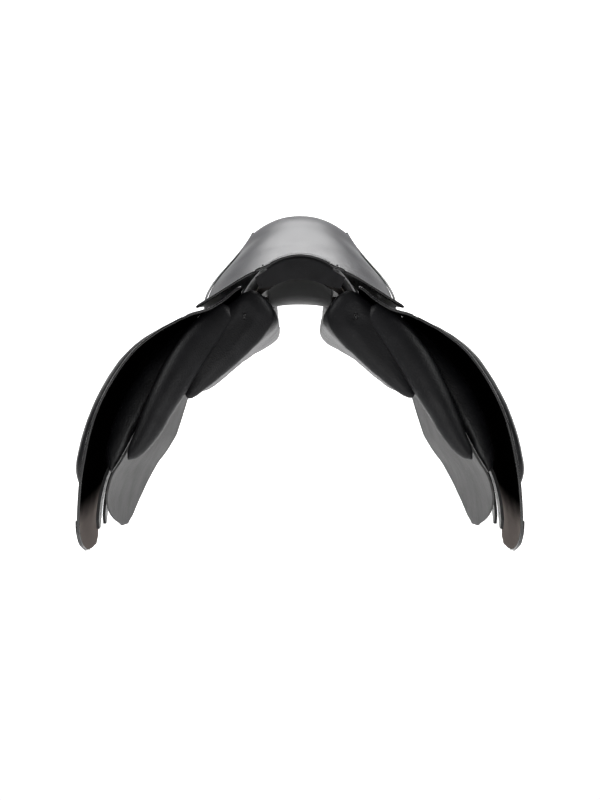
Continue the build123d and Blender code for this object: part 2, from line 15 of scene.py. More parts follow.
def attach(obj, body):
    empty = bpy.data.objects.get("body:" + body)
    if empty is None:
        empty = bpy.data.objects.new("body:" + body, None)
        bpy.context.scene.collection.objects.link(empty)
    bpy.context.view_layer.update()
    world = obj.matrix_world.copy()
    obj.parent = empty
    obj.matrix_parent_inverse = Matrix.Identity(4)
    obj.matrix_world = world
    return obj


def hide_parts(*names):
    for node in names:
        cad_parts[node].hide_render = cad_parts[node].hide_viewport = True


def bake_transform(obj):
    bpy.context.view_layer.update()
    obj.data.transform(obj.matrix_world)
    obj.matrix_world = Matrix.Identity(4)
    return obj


# ---- shared dimensions (mm) -------------------------------------------------
ORIGIN = (0, 240, 206)
SIDE_FALL = 20 / 300
# Seat: y, half width, centre height and edge height.
SEAT_STATIONS = [
    (-2, 48, 419, 404),
    (30, 56, 420, 397),
    (100, 74, 402, 377),
    (170, 91, 381, 355),
    (240, 114, 372, 344),
    (310, 141, 380, 340),
    (365, 152, 401, 346),
    (415, 141, 443, 377),
    (450, 108, 474, 418),
    (478, 78, 490, 462),
    (499, 40, 487, 478),
]
ARCH_POWER = 2.2
SEAT_DEPTH = 13.2
POMMEL_BAND = [(40, -4.6, 406.6), (47, -4.8, 402.8), (54, -4.8, 400.4), (62, -4.6, 396.6)]

# Side sheets: (x, z) down the line, then (z, y) along the edges.
FLAP_LINE = [
    (82, 376), (92, 369), (104, 358.5), (122, 347), (137, 341.5), (150, 338), (171, 328),
    (197, 313), (228, 288), (254, 254), (276, 214), (291, 174), (301.5, 134), (309, 100),
    (316, 60), (320, 30), (320, 8), (317, -10),
]
FLAP_THICK = 3.6
FLAP_FRONT_EDGE = [
    (376, -7), (340, -14), (329, -16), (290, -22), (248, -26), (210, -26.5), (178, -25),
    (140, -15), (110, -4), (80, 14), (50, 34), (26, 54), (5, 78), (-6, 108), (-10, 146),
]
FLAP_REAR_EDGE = [
    (376, 300), (340, 301), (240, 303), (140, 299), (100, 292), (69, 283), (40, 267),
    (17, 252), (-2, 228), (-10, 196),
]
FLAP_TOP_DROP = [(376, 66), (355, 44), (345, 20), (338, 0), (-10, 0)]
SWEAT_LINE = [
    (125, 327), (143, 312), (165, 281), (199, 230), (214, 206), (251, 139),
    (268, 113), (280, 84), (285, 60), (287, 42), (288, 26),
]
SWEAT_FRONT_EDGE = [
    (327, 34), (312, 18), (281, 17), (206, 17), (150, 17), (113, 22), (84, 36), (66, 52),
    (50, 76), (38, 104), (26, 140),
]
SWEAT_REAR_EDGE = [
    (327, 60), (312, 92), (300, 196), (262, 246), (206, 267), (139, 264), (100, 252), (72, 232),
    (50, 206), (38, 190), (26, 166),
]
SKIRT_FRONT = [(58, 399), (79, 388), (100, 375), (124, 360), (146, 346.5)]
SKIRT_REAR = [(106, 348), (120, 350), (132, 347.5), (141, 342), (148, 334)]
# Panel: y and the eight (x, z) corners of its smooth ring.
PANEL_STATIONS = [
    (-4, [(70, 366), (56, 354), (55, 334), (84, 284), (138, 234), (146, 256), (128, 304), (90, 352)]),
    (5, [(68, 370), (46, 354), (42, 324), (80, 276), (150, 221), (158, 250), (139, 306), (98, 352)]),
    (27, [(58, 360), (38, 344), (36, 318), (78, 277), (150, 220), (158, 248), (138, 300), (92, 346)]),
    (60, [(52, 340), (35, 330), (35, 314), (76, 277), (145, 222), (154, 242), (130, 290), (88, 326)]),
    (100, [(50, 326), (35, 324), (34, 312), (75, 275), (140, 223), (150, 236), (124, 276), (84, 305)]),
    (160, [(50, 314), (34, 316), (34, 304), (74, 271), (132, 224), (146, 232), (120, 268), (85, 293)]),
    (250, [(50, 322), (35, 316), (35, 292), (74, 266), (122, 240), (140, 252), (120, 270), (86, 292)]),
    (330, [(50, 338), (36, 328), (37, 290), (76, 268), (122, 262), (140, 278), (124, 290), (90, 308)]),
    (390, [(52, 370), (39, 348), (41, 302), (76, 284), (118, 286), (138, 306), (122, 328), (90, 354)]),
    (440, [(54, 404), (43, 374), (45, 326), (74, 306), (104, 312), (120, 334), (104, 360), (82, 390)]),
    (478, [(58, 414), (50, 390), (52, 350), (72, 332), (90, 338), (100, 358), (90, 382), (76, 404)]),
    (490, [(60, 404), (55, 388), (56, 362), (70, 348), (84, 353), (91, 366), (84, 380), (74, 394)]),
]
# Front roll: x, z, half width and half depth down its line.
FRONT_ROLL = [
    (96, 346, 10, 6), (108, 336, 17, 10), (128, 315, 22, 14), (149, 288, 24, 17),
    (168, 258, 24, 19), (185, 227, 22, 19), (197, 205, 20, 18), (207, 184, 18, 17),
    (218, 164, 15, 15), (229, 148, 11, 12), (239, 136, 4, 7),
]
FRONT_ROLL_Y = (3, -6)
FRONT_ROLL_STEPS = 56
FRONT_ROLL_SIDES = 24
FRONT_ROLL_TIP = 0.35
FRONT_ROLL_GROWTH = 0.22
PANEL_START = 2
PANEL_LENGTH = 480
PANEL_ROWS = 110
PANEL_RING_POINTS = 56
PANEL_FRONT_CAP = ((-4.5, 0.5), (-4, 0.22), (-2.5, 0.1), (0, 0.03))
PANEL_REAR_CAP = ((486, 0.04), (489, 0.15), (490, 0.4))
TIE_PLACE = (77, 334)
TIE_REACH = 11
TIE_DEPTH = 4
TIE_LEAN = 2.2
TIE_HALF = 4
TIE_END_Y = -3.2
TIE_MIDDLE_Y = -4.6
TIE_RADIUS = 1.1

SEAT_COLUMNS = 44
SEAT_ROWS = 120
SEAT_FRONT_ROWS = [-2.4, -2, -0.5]
SEAT_REAR_ROWS = [497.6, 499]
SEAT_BODY = (2, 494)
SEAT_TUCK_END = 2.6
SEAT_TUCK_NEXT = 0.9
SEAT_TUCK_WIDTH = 90
SEAT_EDGE_ROLL = 1.56
SEAM_Y = 20
SEAM_RADIUS = 0.9
POMMEL_PIPING_RADIUS = 2.3

FLAP_ROWS = 110
FLAP_COLUMNS = 46
PATCH_TOP = 46
PATCH_LIFT = 2.6
PATCH_THICK = 2.4
PIPING_STEP = (-1.2, 0.4, -1.0)
PIPING_RADIUS = 1.9
FLAP_PIPING_TOP = 336
HEAD_PIPING_BOTTOM = 334
FLAP_STITCH_COLUMNS = (3, 5)
# Pads: front y, rear y and swell of the height, each read at z.
KNEE_ROLL = (
    [(339, -4), (300, -12), (250, -18), (190, -17), (130, 0), (100, 18), (84, 40)],
    [(339, 44), (300, 48), (250, 46), (190, 48), (130, 62), (100, 64), (84, 52)],
    [
        (332, 0.1), (318, 0.3), (300, 0.6), (270, 0.95), (200, 1.15), (140, 1.45), (110, 1.3),
        (84, 0.5),
    ],
)
KNEE_BLOCK = (
    [(326, 26), (290, 20), (230, 19), (180, 19), (130, 24), (110, 38)],
    [(326, 62), (290, 60), (230, 58), (180, 54), (130, 56), (110, 46)],
    [(326, 0.55), (300, 1.0), (240, 1.55), (180, 1.5), (140, 1.15), (110, 0.7)],
)
THIGH_BLOCK = (
    [(222, 234), (180, 231), (140, 234), (126, 240)],
    [(222, 252), (180, 257), (140, 256), (126, 250)],
    [(222, 0.7), (180, 1.0), (140, 1.0), (126, 0.8)],
)
KNEE_ROLL_HEIGHT = 8.8
KNEE_BLOCK_HEIGHT = 24
THIGH_BLOCK_HEIGHT = 18
KNEE_ROLL_SPAN = (332, 88)
KNEE_BLOCK_SPAN = (325, 112)
THIGH_BLOCK_SPAN = (220, 128)
KNEE_ROLL_GAP = 0.2
BLOCK_GAP = 0.3
SWEAT_ROWS = 70
SWEAT_COLUMNS = 34
SWEAT_THICK = 2.8
SWEAT_SEAM_COLUMN = 31
SWEAT_SEAM_DEPTH = 2.95
SWEAT_TOE_IN = 42
TOE_IN_TOP = 330
TOE_IN_DROP = 190
TOE_IN_LENGTH = 260
TOE_IN_CURVE = 1.2
SKIRT_ROWS = 26
SKIRT_COLUMNS = 36
SKIRT_START = 1
SKIRT_LENGTH = 197
SKIRT_SWEEP = 2.4
SKIRT_WAIST = 0.10
SKIRT_SHORTER = 0.02
SKIRT_THICK = 2.8
SKIRT_PIPING_STEP = (-0.6, -0.6, -0.4)
SKIRT_SEAM_ROW = 24
SKIRT_SEAM_END = 35

# ---- small details (mm, or shares of a size) --------------------------------
SHELL_LAYERS = ((0.0, 1.0), (0.28, 0.0), (0.72, 0.0), (1.0, 1.0))
EDGE_SOFTNESS = 0.25
EDGE_LIMIT = 0.9
CORD_SIDES = 8
CORD_TIP = 0.5
STITCH_SPACING = 4.2
STITCH_LENGTH = 3.0
STITCH_WIDTH = 0.42
STITCH_HEIGHT = 0.34
STITCH_LIFT = 0.04
STITCH_SIDES = 6
STITCH_SHAPE = ((-0.5, 0.35), (-0.28, 1.0), (0.28, 1.0), (0.5, 0.35))

# ---- looks, lights and camera (row metres, watts) ---------------------------
# Where the painted shade ends. The suede is painted near-black high on the flaps' inner faces, where
# they lie in shade, and shows its own grey-brown low down. The channel lining is near-black at the
# front, turning to pale grey painted light toward the rear.
SUEDE_PAINTED_SHADE_Z = -0.135
SUEDE_OWN_COLOUR_Z = -0.175
LINING_PAINTED_SHADE_Y = -0.10
LINING_PAINTED_LIGHT_Y = -0.02
STAGE_FLOOR = -1.5
STAGE_TOP = 3.0
STAGE_BACK = 2.6
STAGE_REACH = 4.0
BACKDROP_GLOW = 1.2
WORLD_STRENGTH = 0.06
LIGHTS = (
    ("top_light", (0, 0.25, 1.7), (0, 0.15, 0), (1.5, 1.1), 46),
    ("left_light", (-1.9, -0.6, 1.2), (0, 0, 0.05), (0.9, 1.4), 18),
    ("right_light", (1.9, -0.6, 1.2), (0, 0, 0.05), (0.9, 1.4), 18),
    ("low_light", (0, -1.9, -0.7), (0, 0, 0), (1.2, 0.8), 6),
)
CAMERA_PLACE = (0, -2000, 396)
CAMERA_AIM = (0, 0, 218)
CAMERA_LENS = 65
BOTH_SIDES = (("right", 1), ("left", -1))


# ---- curves ---------------------------------------------------------------------
def smooth_value(a, b, c, d, share):
    """Catmull-Rom value between b and c."""
    return 0.5 * (
        2 * b
        + (c - a) * share
        + (2 * a - 5 * b + 4 * c - d) * share**2
        + (3 * b - 3 * c + d - a) * share**3
    )


def smooth_line(points, steps, closed=False):
    """Evenly stepped smooth curve through points of any dimension."""
    count = len(points)
    spans = count if closed else count - 1
    result = []
    for step in range(steps + (0 if closed else 1)):
        place = step / steps * spans
        index = min(int(place), spans - 1)
        share = place - index
        if closed:
            around = [points[(index + k) % count] for k in (-1, 0, 1, 2)]
        else:
            around = [points[min(max(index + k, 0), count - 1)] for k in (-1, 0, 1, 2)]
        result.append(tuple(smooth_value(*axis, share) for axis in zip(*around)))
    return result


def even_line(points, steps):
    """Smooth open curve with equal distances between its steps."""
    dense = smooth_line(points, len(points) * 16)
    run = [0.0]
    for before, after in zip(dense, dense[1:]):
        run.append(run[-1] + math.dist(before, after))
    result = []
    index = 0
    for step in range(steps + 1):
        goal = run[-1] * step / steps
        while index < len(run) - 2 and run[index + 1] < goal:
            index += 1
        span = max(run[index + 1] - run[index], 1e-9)
        share = (goal - run[index]) / span
        result.append(tuple(a + (b - a) * share for a, b in zip(dense[index], dense[index + 1])))
    return result


def looked_up(table, key):
    """Smooth reading of a falling (key, value) table."""
    for index in range(len(table) - 1):
        if key >= table[index + 1][0] or index == len(table) - 2:
            high, low = table[index], table[index + 1]
            share = (high[0] - key) / max(high[0] - low[0], 1e-9)
            share = min(max(share, 0), 1)
            before = table[max(index - 1, 0)][1]
            after = table[min(index + 2, len(table) - 1)][1]
            return smooth_value(before, high[1], low[1], after, share)
    return table[-1][1]


def line_normal(line, index):
    """Outward unit normal of an (x, z) line that runs down and outward."""
    before = line[max(index - 1, 0)]
    after = line[min(index + 1, len(line) - 1)]
    run, rise = after[0] - before[0], after[1] - before[1]
    length = math.hypot(run, rise)
    return -rise / length, run / length


# ---- meshes -----------------------------------------------------------------------
def to_row(point):
    """Drawing millimetres to row metres."""
    return tuple((value - zero) / 1000 for value, zero in zip(point, ORIGIN))


def make_mesh(name, points, faces, side=1):
    """Mesh object from drawing points, mirrored for the left side."""
    mesh = bpy.data.meshes.new(name)
    placed = [to_row((side * x, y, z)) for x, y, z in points]
    if side < 0:
        faces = [tuple(reversed(face)) for face in faces]
    mesh.from_pydata(placed, [], faces)
    mesh.validate()
    made = bpy.data.objects.new(name, mesh)
    bpy.context.scene.collection.objects.link(made)
    return tidied(made)


def tidied(made):
    """Outward normals, joined points and smooth shading."""
    work = bmesh.new()
    work.from_mesh(made.data)
    bmesh.ops.remove_doubles(work, verts=work.verts, dist=2e-6)
    bmesh.ops.recalc_face_normals(work, faces=work.faces)
    work.to_mesh(made.data)
    work.free()
    for face in made.data.polygons:
        face.use_smooth = True
    return made


def loft(name, rings, side=1):
    """Closed mesh through rings of equal length, with flat caps."""
    count = len(rings[0])
    points = [point for ring in rings for point in ring]
    faces = []
    for row in range(len(rings) - 1):
        for index in range(count):
            after = (index + 1) % count
            faces.append((
                row * count + index, row * count + after,
                (row + 1) * count + after, (row + 1) * count + index,
            ))
    faces.append(tuple(range(count)))
    faces.append(tuple((len(rings) - 1) * count + index for index in reversed(range(count))))
    return make_mesh(name, points, faces, side)


def shell(name, grid, normals, thick, side=1):
    """Closed sheet: an outer grid of points with thickness and softened edges."""
    rows, columns = len(grid), len(grid[0])
    layers = []
    for depth, inset in SHELL_LAYERS:
        layers.append((depth * thick, inset * min(EDGE_LIMIT, thick * EDGE_SOFTNESS)))
    rim = [(0, c) for c in range(columns)]
    rim += [(r, columns - 1) for r in range(1, rows)]
    rim += [(rows - 1, c) for c in range(columns - 2, -1, -1)]
    rim += [(r, 0) for r in range(rows - 2, 0, -1)]

    def sunk(row, column, depth, inset):
        point = Vector(grid[row][column]) - Vector(normals[row][column]) * depth
        edge = row in (0, rows - 1) or column in (0, columns - 1)
        if edge and inset:
            inner = Vector(grid[min(max(row, 1), rows - 2)][min(max(column, 1), columns - 2)])
            step = inner - Vector(grid[row][column])
            if step.length > 1e-6:
                point += step.normalized() * min(inset, step.length * 0.5)
        return tuple(point)

    points, faces = [], []
    for layer in (0, 3):
        for row in range(rows):
            for column in range(columns):
                points.append(sunk(row, column, *layers[layer]))
    base = rows * columns
    for row in range(rows - 1):
        for column in range(columns - 1):
            a = row * columns + column
            faces.append((a, a + 1, a + columns + 1, a + columns))
            faces.append((base + a, base + a + columns, base + a + columns + 1, base + a + 1))
    ring_start = len(points)
    for layer in (1, 2):
        for row, column in rim:
            points.append(sunk(row, column, *layers[layer]))
    size = len(rim)
    for index in range(size):
        after = (index + 1) % size
        top_a, top_b = rim[index], rim[after]
        a, b = top_a[0] * columns + top_a[1], top_b[0] * columns + top_b[1]
        c, d = ring_start + index, ring_start + after
        e, f = c + size, d + size
        faces += [(a, b, d, c), (c, d, f, e), (e, f, base + b, base + a)]
    return make_mesh(name, points, faces, side)


def tube(name, path, radius, side=1):
    """Round cord along drawing points."""
    rings = []
    count = len(path)
    up = Vector((0, 0, 1))
    for index, point in enumerate(path):
        ahead = Vector(path[min(index + 1, count - 1)])
        behind = Vector(path[max(index - 1, 0)])
        along = (ahead - behind).normalized()
        across = along.cross(up)
        if across.length < 0.05:
            across = along.cross(Vector((0, 1, 0)))
        across.normalize()
        other = across.cross(along)
        size = radius * (CORD_TIP if index in (0, count - 1) else 1.0)
        ring = []
        for step in range(CORD_SIDES):
            turn = 2 * math.pi * step / CORD_SIDES
            ring.append(tuple(
                Vector(point) + across * (size * math.cos(turn)) + other * (size * math.sin(turn))
            ))
        rings.append(ring)
    return loft(name, rings, side)


def moved(path, step):
    """Path moved by one fixed step."""
    return [tuple(value + change for value, change in zip(point, step)) for point in path]


def stitches(name, path, normals, side=1):
    """Row of short raised thread stitches along a path, lying on its surface."""
    points, faces = [], []
    travelled, due = 0.0, STITCH_SPACING / 2
    for index in range(len(path) - 1):
        start, end = Vector(path[index]), Vector(path[index + 1])
        span = (end - start).length
        while span > 0 and due <= travelled + span:
            share = (due - travelled) / span
            centre = start.lerp(end, share)
            normal = Vector(normals[index]).lerp(Vector(normals[index + 1]), share).normalized()
            along = (end - start).normalized()
            across = along.cross(normal).normalized()
            base = len(points)
            for reach, size in STITCH_SHAPE:
                for turn in range(STITCH_SIDES):
                    angle = 2 * math.pi * turn / STITCH_SIDES
                    points.append(tuple(
                        centre + along * (reach * STITCH_LENGTH)
                        + across * (STITCH_WIDTH * size * math.cos(angle))
                        + normal * (STITCH_HEIGHT * size * math.sin(angle) + STITCH_LIFT)
                    ))
            for row in range(len(STITCH_SHAPE) - 1):
                a = base + row * STITCH_SIDES
                b = a + STITCH_SIDES
                for turn in range(STITCH_SIDES):
                    after = (turn + 1) % STITCH_SIDES
                    faces.append((a + turn, a + after, b + after, b + turn))
            faces.append(tuple(base + turn for turn in reversed(range(STITCH_SIDES))))
            faces.append(tuple(b + turn for turn in range(STITCH_SIDES)))
            due += STITCH_SPACING
        travelled += span
    return make_mesh(name, points, faces, side)


def wrinkled(made, amount, size, seed, stretch=(1, 1, 1)):
    """Push a mesh's points in and out a little, as worn leather creases do (mm)."""
    for vertex in made.data.vertices:
        place = Vector(
            (value / size * 1000 * pull for value, pull in zip(vertex.co, stretch))
        ) + Vector((seed, seed * 0.7, -seed))
        push = noise.fractal(place, 0.7, 2.1, 3) * amount / 1000
        vertex.co += vertex.normal * push
    made.data.update()


# ---- materials -------------------------------------------------------------------------
def node_material(name):
    """Empty node material with a principled shader."""
    material = bpy.data.materials.new(name)
    material.use_nodes = True
    tree = material.node_tree
    return material, tree, tree.nodes["Principled BSDF"]


def add_node(tree, kind, **inputs):
    """Node with named input values."""
    node = tree.nodes.new(kind)
    for key, value in inputs.items():
        node.inputs[key.replace("_", " ")].default_value = value
    return node


def leather(name, colour, rough, grain, bump, sheen=0.0, gloss=0.5, streak=(1, 1, 1), vary=0.25):
    """Grained leather: cell pattern for the pores, slow noise for wear and polish."""
    material, tree, shader = node_material(name)
    coord = tree.nodes.new("ShaderNodeTexCoord")
    stretch = add_node(tree, "ShaderNodeMapping", Scale=streak)
    tree.links.new(coord.outputs["Object"], stretch.inputs["Vector"])
    cells = add_node(tree, "ShaderNodeTexVoronoi", Scale=grain, Randomness=0.95)
    cells.feature = "SMOOTH_F1"
    cells.inputs["Smoothness"].default_value = 0.35
    fine = add_node(tree, "ShaderNodeTexNoise", Scale=grain * 2.7, Detail=3.0, Roughness=0.6)
    slow = add_node(tree, "ShaderNodeTexNoise", Scale=26.0, Detail=4.0, Roughness=0.62)
    for node in (cells, fine, slow):
        tree.links.new(stretch.outputs["Vector"], node.inputs["Vector"])
    mix = add_node(tree, "ShaderNodeMath")
    mix.operation = "MULTIPLY_ADD"
    mix.inputs[1].default_value = 0.35
    tree.links.new(fine.outputs[0], mix.inputs[0])
    tree.links.new(cells.outputs["Distance"], mix.inputs[2])
    relief = add_node(tree, "ShaderNodeBump", Strength=bump, Distance=0.0006)
    tree.links.new(mix.outputs["Value"], relief.inputs["Height"])
    tree.links.new(relief.outputs["Normal"], shader.inputs["Normal"])
    tint = tree.nodes.new("ShaderNodeValToRGB")
    tint.color_ramp.elements[0].position = 0.3
    tint.color_ramp.elements[1].position = 0.75
    tint.color_ramp.elements[0].color = tuple(c * (1 - vary) for c in colour) + (1,)
    tint.color_ramp.elements[1].color = tuple(min(c * (1 + vary), 1) for c in colour) + (1,)
    tree.links.new(slow.outputs[0], tint.inputs["Fac"])
    tree.links.new(tint.outputs["Color"], shader.inputs["Base Color"])
    polish = add_node(tree, "ShaderNodeMapRange")
    polish.inputs["To Min"].default_value = max(rough - 0.08, 0.05)
    polish.inputs["To Max"].default_value = rough + 0.1
    tree.links.new(slow.outputs[0], polish.inputs["Value"])
    tree.links.new(polish.outputs["Result"], shader.inputs["Roughness"])
    shader.inputs["Sheen Weight"].default_value = sheen
    shader.inputs["Sheen Roughness"].default_value = 0.5
    shader.inputs["Specular IOR Level"].default_value = gloss
    return material


def painted_shade_blend(name, painted_shade_colour, second, axis, start, end, rough=0.9, gloss=0.08):
    """Leather that turns from painted shade to a second colour along an axis (row m), in patches."""
    material, tree, shader = node_material(name)
    coord = tree.nodes.new("ShaderNodeTexCoord")
    split = tree.nodes.new("ShaderNodeSeparateXYZ")
    tree.links.new(coord.outputs["Object"], split.inputs["Vector"])
    fibres = add_node(tree, "ShaderNodeTexNoise", Scale=900.0, Detail=3.0)
    patches = add_node(tree, "ShaderNodeTexNoise", Scale=34.0, Detail=4.0)
    for node in (fibres, patches):
        tree.links.new(coord.outputs["Object"], node.inputs["Vector"])
    level = add_node(tree, "ShaderNodeMapRange")
    level.inputs["From Min"].default_value = start
    level.inputs["From Max"].default_value = end
    tree.links.new(split.outputs[axis], level.inputs["Value"])
    tint = tree.nodes.new("ShaderNodeMix")
    tint.data_type = "RGBA"
    tint.inputs["A"].default_value = tuple(painted_shade_colour) + (1,)
    tint.inputs["B"].default_value = tuple(second) + (1,)
    # Patchy noise breaks up the border between the painted shade and the second colour.
    patchy_level = add_node(tree, "ShaderNodeMath")
    patchy_level.operation = "MULTIPLY_ADD"
    patchy_level.use_clamp = True
    patchy_level.inputs[1].default_value = 0.7
    tree.links.new(patches.outputs[0], patchy_level.inputs[0])
    tree.links.new(level.outputs["Result"], patchy_level.inputs[2])
    share = add_node(tree, "ShaderNodeMath")
    share.operation = "MULTIPLY"
    tree.links.new(patchy_level.outputs["Value"], share.inputs[0])
    tree.links.new(level.outputs["Result"], share.inputs[1])
    tree.links.new(share.outputs["Value"], tint.inputs["Factor"])
    tree.links.new(tint.outputs["Result"], shader.inputs["Base Color"])
    relief = add_node(tree, "ShaderNodeBump", Strength=0.5, Distance=0.0005)
    tree.links.new(fibres.outputs[0], relief.inputs["Height"])
    tree.links.new(relief.outputs["Normal"], shader.inputs["Normal"])
    shader.inputs["Roughness"].default_value = rough
    shader.inputs["Specular IOR Level"].default_value = gloss
    return material


def woven(name, colour, threads):
    """Woven web: crossed waves for warp and weft."""
    material, tree, shader = node_material(name)
    coord = tree.nodes.new("ShaderNodeTexCoord")
    height = None
    for direction in ("X", "Y"):
        wave = add_node(tree, "ShaderNodeTexWave", Scale=threads, Distortion=0.4)
        wave.bands_direction = direction
        tree.links.new(coord.outputs["Object"], wave.inputs["Vector"])
        if height is None:
            height = wave
            continue
        both = add_node(tree, "ShaderNodeMath")
        both.operation = "MULTIPLY"
        tree.links.new(height.outputs["Fac"], both.inputs[0])
        tree.links.new(wave.outputs["Fac"], both.inputs[1])
    relief = add_node(tree, "ShaderNodeBump", Strength=0.6, Distance=0.0006)
    tree.links.new(both.outputs["Value"], relief.inputs["Height"])
    tree.links.new(relief.outputs["Normal"], shader.inputs["Normal"])
    tint = tree.nodes.new("ShaderNodeValToRGB")
    tint.color_ramp.elements[0].color = tuple(c * 0.6 for c in colour) + (1,)
    tint.color_ramp.elements[1].color = tuple(colour) + (1,)
    tree.links.new(both.outputs["Value"], tint.inputs["Fac"])
    tree.links.new(tint.outputs["Color"], shader.inputs["Base Color"])
    shader.inputs["Roughness"].default_value = 0.85
    shader.inputs["Sheen Weight"].default_value = 0.3
    return material


def metal(name, colour, rough, scratch):
    """Metal with fine brushed lines and uneven polish."""
    material, tree, shader = node_material(name)
    coord = tree.nodes.new("ShaderNodeTexCoord")
    stretch = add_node(tree, "ShaderNodeMapping", Scale=(1.0, 0.08, 1.0))
    tree.links.new(coord.outputs["Object"], stretch.inputs["Vector"])
    lines = add_node(tree, "ShaderNodeTexNoise", Scale=1800.0, Detail=2.0)
    tree.links.new(stretch.outputs["Vector"], lines.inputs["Vector"])
    relief = add_node(tree, "ShaderNodeBump", Strength=scratch, Distance=0.0002)
    tree.links.new(lines.outputs[0], relief.inputs["Height"])
    tree.links.new(relief.outputs["Normal"], shader.inputs["Normal"])
    polish = add_node(tree, "ShaderNodeMapRange")
    polish.inputs["To Min"].default_value = rough * 0.7
    polish.inputs["To Max"].default_value = rough * 1.4
    tree.links.new(lines.outputs[0], polish.inputs["Value"])
    tree.links.new(polish.outputs["Result"], shader.inputs["Roughness"])
    shader.inputs["Base Color"].default_value = tuple(colour) + (1,)
    shader.inputs["Metallic"].default_value = 1.0
    return material


def wood(name, colour):
    """Laminated beech with a fine lengthways figure."""
    material, tree, shader = node_material(name)
    coord = tree.nodes.new("ShaderNodeTexCoord")
    stretch = add_node(tree, "ShaderNodeMapping", Scale=(60.0, 4.0, 60.0))
    tree.links.new(coord.outputs["Object"], stretch.inputs["Vector"])
    figure = add_node(tree, "ShaderNodeTexNoise", Scale=2.0, Detail=5.0, Distortion=0.8)
    tree.links.new(stretch.outputs["Vector"], figure.inputs["Vector"])
    tint = tree.nodes.new("ShaderNodeValToRGB")
    tint.color_ramp.elements[0].color = tuple(c * 0.55 for c in colour) + (1,)
    tint.color_ramp.elements[1].color = tuple(colour) + (1,)
    tree.links.new(figure.outputs[0], tint.inputs["Fac"])
    tree.links.new(tint.outputs["Color"], shader.inputs["Base Color"])
    shader.inputs["Roughness"].default_value = 0.5
    return material


def make_materials():
    """All materials by the record's slot names, with thread beside them."""
    return {
        "seat_leather": leather(
            "seat_leather", (0.020, 0.020, 0.024), rough=0.42, grain=900, bump=0.18, gloss=0.9
        ),
        "flap_leather": leather(
            "flap_leather", (0.010, 0.010, 0.012), rough=0.36, grain=700, bump=0.22
        ),
        "skirt_leather": leather(
            "skirt_leather", (0.012, 0.012, 0.014), rough=0.36, grain=800, bump=0.22
        ),
        "panel_leather": leather(
            "panel_leather", (0.011, 0.011, 0.013), rough=0.44, grain=560, bump=0.5, gloss=0.4
        ),
        "sweat_leather": leather(
            "sweat_leather", (0.120, 0.118, 0.118), rough=0.8, grain=500, bump=0.5,
            sheen=0.3, gloss=0.3, streak=(1.0, 1.0, 0.3), vary=0.5,
        ),
        "strap_leather": leather(
            "strap_leather", (0.008, 0.008, 0.009), rough=0.42, grain=900, bump=0.25
        ),
        "roll_leather": leather(
            "roll_leather", (0.009, 0.009, 0.011), rough=0.36, grain=480, bump=0.45
        ),
        # Channel lining: the lining's black, deepened as painted shade, at the front of the channel,
        # turning toward the rear to pale grey painted light where the backdrop lights its roof.
        "lining_leather": painted_shade_blend(
            "lining_leather", (0.003, 0.003, 0.003), (0.34, 0.34, 0.34),
            axis="Y", start=LINING_PAINTED_SHADE_Y, end=LINING_PAINTED_LIGHT_Y, rough=0.7,
        ),
        "welt_leather": leather(
            "welt_leather", (0.012, 0.012, 0.014), rough=0.28, grain=900, bump=0.2, gloss=0.8
        ),
        "webbing": woven("webbing", (0.6, 0.56, 0.48), threads=700),
        "foam": leather(
            "foam", (0.8, 0.78, 0.72), rough=0.95, grain=300, bump=0.6
        ),
        "flocking": leather(
            "flocking", (0.73, 0.71, 0.66), rough=0.98, grain=240, bump=0.8, sheen=0.5
        ),
        # Near-black tree: partly a dark finish of the tree, partly painted shade where the tree shows
        # through gaps between the leather pieces.
        "tree_wood": wood("tree_wood", (0.030, 0.022, 0.017)),
        "steel": metal("steel", (0.62, 0.62, 0.63), rough=0.32, scratch=0.25),
        "bright_metal": metal("bright_metal", (0.78, 0.77, 0.76), rough=0.12, scratch=0.06),
        "thread": leather(
            "thread", (0.05, 0.05, 0.052), rough=0.5, grain=1500, bump=0.3
        ),
        # Flap suede: painted shade (near-black) high on the inner faces, where they lie in shade
        # against the panels, turning to the suede's own grey-brown near the lower edge.
        "suede": painted_shade_blend(
            "suede", (0.0008, 0.0008, 0.0008), (0.23, 0.200, 0.186),
            axis="Z", start=SUEDE_PAINTED_SHADE_Z, end=SUEDE_OWN_COLOUR_Z, gloss=0.0,
        ),
        "edge": leather(
            "edge", (0.009, 0.009, 0.010), rough=0.26, grain=900, bump=0.1, gloss=0.9
        ),
    }


def dress(made, slot, materials, look=None):
    """Give a piece the material of its slot, or of the look given instead."""
    made.data.materials.clear()
    made.data.materials.append(materials[look or slot])
    return made


# ---- seat ----------------------------------------------------------------------------
def seat_section(y):
    """Half width, centre height and edge height of the seat at one y."""
    stations = SEAT_STATIONS
    index = 0
    while index < len(stations) - 2 and stations[index + 1][0] < y:
        index += 1
    share = (y - stations[index][0]) / (stations[index + 1][0] - stations[index][0])
    around = [stations[min(max(index + k, 0), len(stations) - 1)] for k in (-1, 0, 1, 2)]
    return [smooth_value(*(row[column] for row in around), share) for column in (1, 2, 3)]


def seat_point(y, share, depth=0.0):
    """Point on the seat: share runs -1 to 1 across, depth is below the surface."""
    width, top, edge = seat_section(y)
    drop = (top - edge) * abs(share) ** ARCH_POWER
    slope = -math.copysign(
        (top - edge) * ARCH_POWER * abs(share) ** (ARCH_POWER - 1) / width, share
    )
    length = math.hypot(1, slope)
    return (width * share + depth * slope / length, y, top - drop - depth / length)


